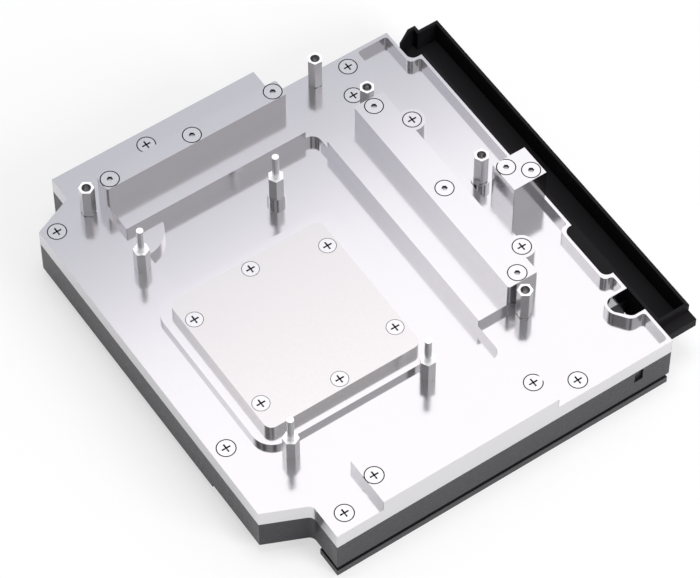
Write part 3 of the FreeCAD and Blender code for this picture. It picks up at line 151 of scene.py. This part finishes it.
def blended(tree, factor, first, second):
    """A colour between two others, each a tuple or an output."""
    node = tree.nodes.new("ShaderNodeMix")
    node.data_type = "RGBA"
    tree.links.new(factor, node.inputs[0])
    for socket, colour in ((node.inputs[6], first), (node.inputs[7], second)):
        if isinstance(colour, tuple):
            socket.default_value = (*colour, 1.0)
        else:
            tree.links.new(colour, socket)
    return node.outputs[2]


def ramped(tree, value, stops):
    """A colour ramp over the value, from (position, colour) stops."""
    ramp = tree.nodes.new("ShaderNodeValToRGB")
    tree.links.new(value, ramp.inputs[0])
    elements = ramp.color_ramp.elements
    while len(elements) < len(stops):
        elements.new(0.5)
    for element, (position, colour) in zip(elements, stops):
        element.position = position
        element.color = (*colour, 1.0)
    return ramp.outputs[0]


def upward(tree):
    """1 on faces that look up or down, 0 on upright ones."""
    geometry = tree.nodes.new("ShaderNodeNewGeometry")
    split = tree.nodes.new("ShaderNodeSeparateXYZ")
    tree.links.new(geometry.outputs["True Normal"], split.inputs[0])
    size = tree.nodes.new("ShaderNodeMath")
    size.operation = "ABSOLUTE"
    tree.links.new(split.outputs["Z"], size.inputs[0])
    return spread(tree, size.outputs[0], 0.0, 1.0, *LEVEL_FACE)


def openness(tree, distance):
    """1 where nothing stands within the distance, less in grooves and recesses."""
    node = tree.nodes.new("ShaderNodeAmbientOcclusion")
    node.samples = OPENNESS_SAMPLES
    node.inputs["Distance"].default_value = distance
    return node.outputs["AO"]


def painted_crevice_shade(tree, colour, low, high, distance=0.0005):
    """The colour with painted shade: gone dark where the surface is less open than low..high."""
    clear = spread(tree, openness(tree, distance), 0.0, 1.0, low, high)
    return blended(tree, clear, GROOVE_PAINTED_SHADE, colour)


def bump(tree, shader, height, distance, edge):
    """Fine relief. The edges between upright faces are shaded as if rounded to the edge radius."""
    rounded = tree.nodes.new("ShaderNodeBevel")
    rounded.samples = EDGE_SAMPLES
    rounded.inputs["Radius"].default_value = edge
    level = tree.nodes.new("ShaderNodeVectorMath")
    level.operation = "MULTIPLY"
    level.inputs[1].default_value = (1.0, 1.0, 0.0)
    tree.links.new(rounded.outputs["Normal"], level.inputs[0])
    unit = tree.nodes.new("ShaderNodeVectorMath")
    unit.operation = "NORMALIZE"
    tree.links.new(level.outputs[0], unit.inputs[0])
    plain = tree.nodes.new("ShaderNodeNewGeometry")
    mix = tree.nodes.new("ShaderNodeMix")
    mix.data_type = "VECTOR"
    tree.links.new(upward(tree), mix.inputs[0])
    tree.links.new(unit.outputs[0], mix.inputs[4])
    tree.links.new(plain.outputs["Normal"], mix.inputs[5])
    node = tree.nodes.new("ShaderNodeBump")
    node.inputs["Distance"].default_value = distance
    tree.links.new(height, node.inputs["Height"])
    tree.links.new(mix.outputs[1], node.inputs["Normal"])
    tree.links.new(node.outputs["Normal"], shader.inputs["Normal"])


# Materials

def varied(tree, point, colour, change, scale):
    """The colour, mottled with a darker one at the noise's scale."""
    other = tuple(part * (1.0 - change) for part in colour)
    return blended(tree, noise(tree, point, scale), colour, other)


def metal(name, colour, change, roughness, grain):
    """Plated or bare metal: slow changes of tone, painted shade in grooves and recesses, a fine grain
    in the gloss and faint tool marks.
    """
    material, tree, shader = new_material(name)
    point = place(tree)
    # Painted shade: the colour goes dark in grooves and recesses, by how open the surface is
    shade = painted_crevice_shade(tree, varied(tree, point, colour, change, scale=38.0), low=0.1, high=0.4)
    tree.links.new(shade, shader.inputs["Base Color"])
    shader.inputs["Metallic"].default_value = 1.0
    fine = noise(tree, point, scale=900.0, detail=2.0)
    tree.links.new(spread(tree, fine, *roughness), shader.inputs["Roughness"])
    marks = noise(tree, mapped(tree, point, MILLING_SCALE), scale=1.0, detail=2.0)
    bump(tree, shader, marks, grain, METAL_EDGE)
    return material


def standoff_metal(name):
    """Turned and milled hexagon bar: end faces coloured brighter as a painted highlight and rougher,
    smoother sides.
    """
    material, tree, shader = new_material(name)
    point = place(tree)
    ends = upward(tree)
    sides = blended(tree, noise(tree, point, scale=120.0), *STANDOFF_SIDES)
    # Painted highlight: level end faces take a brighter colour than the upright sides
    tree.links.new(blended(tree, ends, sides, STANDOFF_END_PAINTED_HIGHLIGHT), shader.inputs["Base Color"])
    shader.inputs["Metallic"].default_value = 1.0
    gloss = spread(tree, ends, low=0.32, high=0.48, start=0.0, end=1.0)
    tree.links.new(gloss, shader.inputs["Roughness"])
    marks = noise(tree, mapped(tree, point, TURNING_SCALE), scale=1.0, detail=2.0)
    bump(tree, shader, marks, distance=0.000004, edge=STANDOFF_EDGE)
    return material


def screw_metal(name, socket=False):
    """Steel screws: bright heads with painted shade in their recesses; in a wide socket the upright
    faces are painted dark as shade, over a matt, brighter bottom.
    """
    material, tree, shader = new_material(name)
    point = place(tree)
    tone = blended(tree, noise(tree, point, scale=90.0), *SCREW_TONES)
    if socket:
        # Painted shade: recesses darkened, then upright faces painted dark, level faces kept in the
        # screw's tone
        flat = painted_crevice_shade(tree, tone, low=0.3, high=0.6, distance=0.0004)
        shade = blended(tree, upward(tree), SOCKET_WALL_PAINTED_SHADE, flat)
        near = openness(tree, distance=0.002)
        gloss = spread(tree, near, low=0.5, high=0.15, start=0.6, end=0.9)
    else:
        # Painted shade in the cross recess and in the ring gap under the head
        shade = painted_crevice_shade(tree, tone, low=0.5, high=0.8, distance=0.0008)
        gloss = spread(tree, noise(tree, point, scale=900.0, detail=2.0), low=0.13, high=0.18)
    tree.links.new(shade, shader.inputs["Base Color"])
    shader.inputs["Metallic"].default_value = 1.0
    tree.links.new(gloss, shader.inputs["Roughness"])
    marks = noise(tree, mapped(tree, point, MILLING_SCALE), scale=1.0, detail=2.0)
    bump(tree, shader, marks, distance=0.000001, edge=SCREW_EDGE)
    return material


def plastic(name, colour, change, roughness, grain, specular=0.5):
    """Milled or moulded plastic: slight mottling and a fine surface grain."""
    material, tree, shader = new_material(name)
    point = place(tree)
    shade = varied(tree, point, colour, change, scale=60.0)
    tree.links.new(shade, shader.inputs["Base Color"])
    shader.inputs["Specular IOR Level"].default_value = specular
    fine = noise(tree, point, scale=700.0, detail=2.0)
    tree.links.new(spread(tree, fine, *roughness), shader.inputs["Roughness"])
    marks = noise(tree, point, scale=2200.0, detail=2.0)
    bump(tree, shader, marks, grain, PLASTIC_EDGE)
    return material


def clear_plastic(name):
    """Clear milled plastic, slightly frosted."""
    material, tree, shader = new_material(name)
    fine = noise(tree, place(tree), scale=400.0, detail=2.0)
    tree.links.new(blended(tree, fine, *ACRYLIC_TONES), shader.inputs["Base Color"])
    shader.inputs["Transmission Weight"].default_value = 1.0
    tree.links.new(spread(tree, fine, low=0.12, high=0.3), shader.inputs["Roughness"])
    return material


FINISHES = {
    "nickel_plate": metal(
        "satin_nickel", colour=(0.725, 0.715, 0.73), change=0.02,
        roughness=(0.12, 0.15), grain=0.000001),
    "screw_steel": screw_metal("screw_steel"),
    "black_steel": metal(
        "black_steel", colour=(0.06, 0.06, 0.065), change=0.2,
        roughness=(0.35, 0.45), grain=0.000004),
    "stainless": metal(
        "stainless_sheet", colour=(0.62, 0.62, 0.62), change=0.05,
        roughness=(0.28, 0.36), grain=0.000003),
    "acetal": plastic(
        "black_acetal", colour=(0.019, 0.019, 0.025), change=0.15,
        roughness=(0.26, 0.34), grain=0.000006, specular=0.33),
    "acrylic": clear_plastic("clear_acrylic"),
    "black_plastic": plastic(
        "shroud_black", colour=(0.0115, 0.0105, 0.0118), change=0.2,
        roughness=(0.5, 0.6), grain=0.000008, specular=0.08),
    "black_anodised": plastic(
        "black_anodised", colour=(0.02, 0.02, 0.022), change=0.15,
        roughness=(0.3, 0.38), grain=0.000006),
    "seal_rubber": plastic(
        "seal_rubber", colour=(0.018, 0.018, 0.018), change=0.2,
        roughness=(0.55, 0.65), grain=0.00001, specular=0.3),
}
NODE_FINISHES = {
    "cpu_cold_plate": metal(
        "contact_nickel", colour=(0.725, 0.705, 0.7), change=0.015,
        roughness=(0.22, 0.25), grain=0.000001),
    "cover_spacer": plastic(
        "spacer_black", colour=(0.012, 0.012, 0.013), change=0.2,
        roughness=(0.5, 0.6), grain=0.000008, specular=0.2),
}
STANDOFF_METAL = standoff_metal("standoff_metal")
SOCKET_STEEL = screw_metal("socket_screw_steel", socket=True)


# The materials of the CAD nodes: by the node's own name, or else by its slot

def own_finish(name):
    """The finish that a node has by its name, or None."""
    if "bar_screw" in name or "tower_screw" in name:
        return SOCKET_STEEL
    if "standoff" in name:
        return STANDOFF_METAL
    return NODE_FINISHES.get(name)


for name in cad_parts:
    own = own_finish(name)
    for slot in bpy.data.objects[name].material_slots:
        slot.material = own or FINISHES[slot.material.name.split(".")[0]]


# Floor, lights and camera

def flat_sheet(name, corners, level, material):
    """A level sheet through the corners."""
    mesh = bpy.data.meshes.new(name)
    form = bmesh.new()
    form.faces.new([form.verts.new((x, y, level)) for x, y in corners])
    form.to_mesh(mesh)
    form.free()
    mesh.materials.append(material)
    piece = bpy.data.objects.new(name, mesh)
    bpy.context.scene.collection.objects.link(piece)
    return piece


def floor_material():
    """White paper: diffuse, and partly plain white to the camera, through glass and in mirrors."""
    material, tree, shader = new_material("floor_white")
    output = next(node for node in tree.nodes if node.type == "OUTPUT_MATERIAL")
    shader.inputs["Base Color"].default_value = (FLOOR_WHITE, FLOOR_WHITE, FLOOR_WHITE, 1.0)
    shader.inputs["Roughness"].default_value = 0.9
    shader.inputs["Specular IOR Level"].default_value = 0.1
    path = tree.nodes.new("ShaderNodeLightPath")
    shares = []
    for ray, part in FLOOR_SHARES:
        share = tree.nodes.new("ShaderNodeMath")
        share.operation = "MULTIPLY"
        share.inputs[1].default_value = part
        tree.links.new(path.outputs[ray], share.inputs[0])
        shares.append(share.outputs[0])
    while len(shares) > 1:
        larger = tree.nodes.new("ShaderNodeMath")
        larger.operation = "MAXIMUM"
        tree.links.new(shares.pop(), larger.inputs[0])
        tree.links.new(shares.pop(), larger.inputs[1])
        shares.append(larger.outputs[0])
    glow = tree.nodes.new("ShaderNodeEmission")
    glow.inputs["Color"].default_value = (1.0, 1.0, 1.0, 1.0)
    glow.inputs["Strength"].default_value = 1.0
    mix = tree.nodes.new("ShaderNodeMixShader")
    tree.links.new(shares[0], mix.inputs[0])
    tree.links.new(shader.outputs["BSDF"], mix.inputs[1])
    tree.links.new(glow.outputs[0], mix.inputs[2])
    tree.links.new(mix.outputs[0], output.inputs["Surface"])
    return material


def card_material():
    """A large overhead softbox: full over its near part, falling off towards its far side."""
    material = bpy.data.materials.new("light_card")
    material.use_nodes = True
    tree = material.node_tree
    tree.nodes.clear()
    output = tree.nodes.new("ShaderNodeOutputMaterial")
    split = tree.nodes.new("ShaderNodeSeparateXYZ")
    tree.links.new(place(tree), split.inputs[0])
    across = tree.nodes.new("ShaderNodeMath")
    across.operation = "MULTIPLY_ADD"
    across.inputs[1].default_value = -CARD_SLOPE
    tree.links.new(split.outputs["X"], across.inputs[0])
    tree.links.new(split.outputs["Y"], across.inputs[2])
    start = CARD_TONES[0][0]
    end = CARD_TONES[-1][0]
    shift = CARD_SLOPE_START * CARD_SLOPE
    along = spread(tree, across.outputs[0], 0.0, 1.0, start - shift, end - shift)
    stops = []
    for y, colour in CARD_TONES:
        stops.append(((y - start) / (end - start), tuple(part / CARD_STRENGTH for part in colour)))
    glow = tree.nodes.new("ShaderNodeEmission")
    glow.inputs["Strength"].default_value = CARD_STRENGTH
    tree.links.new(ramped(tree, along, stops), glow.inputs["Color"])
    tree.links.new(glow.outputs[0], output.inputs["Surface"])
    return material


def soft_lamp(name, location, size, energy):
    """A round area lamp that points at the middle of the part."""
    data = bpy.data.lights.new(name, "AREA")
    data.shape = "DISK"
    data.size = size
    data.energy = energy
    lamp = bpy.data.objects.new(name, data)
    aim = (Vector(LAMP_AIM) - Vector(location)).to_track_quat("-Z", "Y")
    lamp.matrix_world = Matrix.Translation(location) @ aim.to_matrix().to_4x4()
    bpy.context.scene.collection.objects.link(lamp)
    return lamp


def studio_world():
    """Pale walls under a greyer ceiling, with dark uprights that edges and roundings mirror."""
    world = bpy.data.worlds.new("studio")
    world.use_nodes = True
    tree = world.node_tree
    tree.nodes.clear()
    output = tree.nodes.new("ShaderNodeOutputWorld")
    sky = tree.nodes.new("ShaderNodeBackground")
    direction = tree.nodes.new("ShaderNodeTexCoord").outputs["Generated"]
    side = tree.nodes.new("ShaderNodeVectorMath")
    side.operation = "DOT_PRODUCT"
    side.inputs[1].default_value = SKY_SIDE
    tree.links.new(direction, side.inputs[0])
    lit = spread(tree, side.outputs["Value"], 0.0, 1.0, -SKY_SIDE_REACH, SKY_SIDE_REACH)
    height = tree.nodes.new("ShaderNodeSeparateXYZ")
    tree.links.new(direction, height.inputs[0])
    rise = spread(tree, height.outputs["Z"], 0.0, 1.0, *SKY_RISE)
    open_sky = blended(tree, rise, HORIZON, blended(tree, lit, *CEILING))
    round_about = tree.nodes.new("ShaderNodeTexGradient")
    round_about.gradient_type = "RADIAL"
    tree.links.new(direction, round_about.inputs["Vector"])
    tones = [(turn, (tone, tone, tone)) for turn, tone in STRIPES]
    uprights = ramped(tree, round_about.outputs["Fac"], tones)
    tree.links.new(blended(tree, uprights, SKY_DARK, open_sky), sky.inputs["Color"])
    tree.links.new(sky.outputs[0], output.inputs["Surface"])
    return world


def still_camera():
    """The camera at the photograph's viewing angle."""
    data = bpy.data.cameras.new("camera")
    data.lens = CAMERA_LENS_MM
    data.sensor_width = CAMERA_SENSOR_MM
    data.sensor_fit = "HORIZONTAL"
    camera = bpy.data.objects.new("camera", data)
    turn = Matrix.Rotation(math.radians(CAMERA_HEADING), 4, "Z")
    turn = turn @ Matrix.Rotation(math.radians(CAMERA_TILT), 4, "X")
    turn = turn @ Matrix.Rotation(math.radians(CAMERA_ROLL), 4, "Z")
    camera.matrix_world = Matrix.Translation(CAMERA_PLACE) @ turn
    bpy.context.scene.collection.objects.link(camera)
    return camera


flat_sheet("floor", FLOOR_CORNERS, FLOOR_LEVEL - FLOOR_GAP, floor_material())
card = flat_sheet("light_card", CARD_CORNERS, CARD_LEVEL, card_material())
card.visible_camera = False
card.visible_shadow = False
card.visible_diffuse = False
soft_lamp("top_light", **TOP_LIGHT)
front_light = soft_lamp("front_light", **FRONT_LIGHT)
front_light.visible_glossy = False
bpy.context.scene.world = studio_world()
bpy.context.scene.camera = still_camera()
bpy.context.scene.view_settings.view_transform = "Standard"
